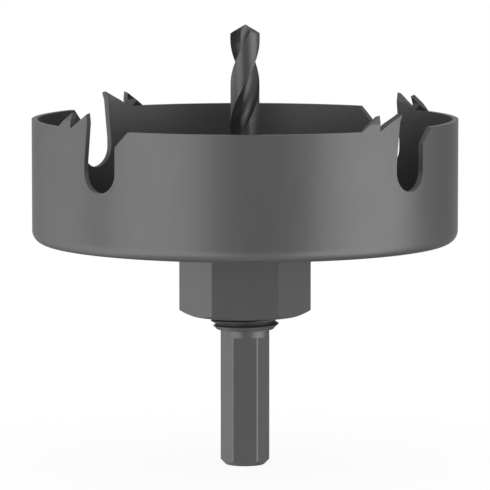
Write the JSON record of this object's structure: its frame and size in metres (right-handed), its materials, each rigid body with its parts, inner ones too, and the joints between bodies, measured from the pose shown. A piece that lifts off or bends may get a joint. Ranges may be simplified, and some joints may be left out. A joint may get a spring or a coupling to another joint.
{
  "type": "hole saw",
  "caption": "Shallow hole saw: a slotted steel cup with pairs of set teeth, clamped on a hexagon-shank arbor with a twist drill in its middle.",
  "frame": {"origin": "centre of the shank's flat end face", "axes": "+Z along the axis from the shank to the drill's point; two of the shank's and the nut's flats face -Y and +Y, and the picture looks along +Y"},
  "size_m": [0.094, 0.094, 0.0975],
  "materials": {
    "cup_steel": "satin black oxide on drawn sheet",
    "arbor_steel": "satin black oxide on turned and milled bar",
    "nut_steel": "satin black oxide on machined hexagon bar",
    "drill_steel": "steam-treated high-speed steel, satin",
    "screw_steel": "black oxide"
  },
  "bodies": {
    "root": {"saw_cup": "cup_steel", "arbor": "arbor_steel", "hex_nut": "nut_steel", "pilot_drill": "drill_steel", "set_screw": "screw_steel"}
  },
  "joints": []
}
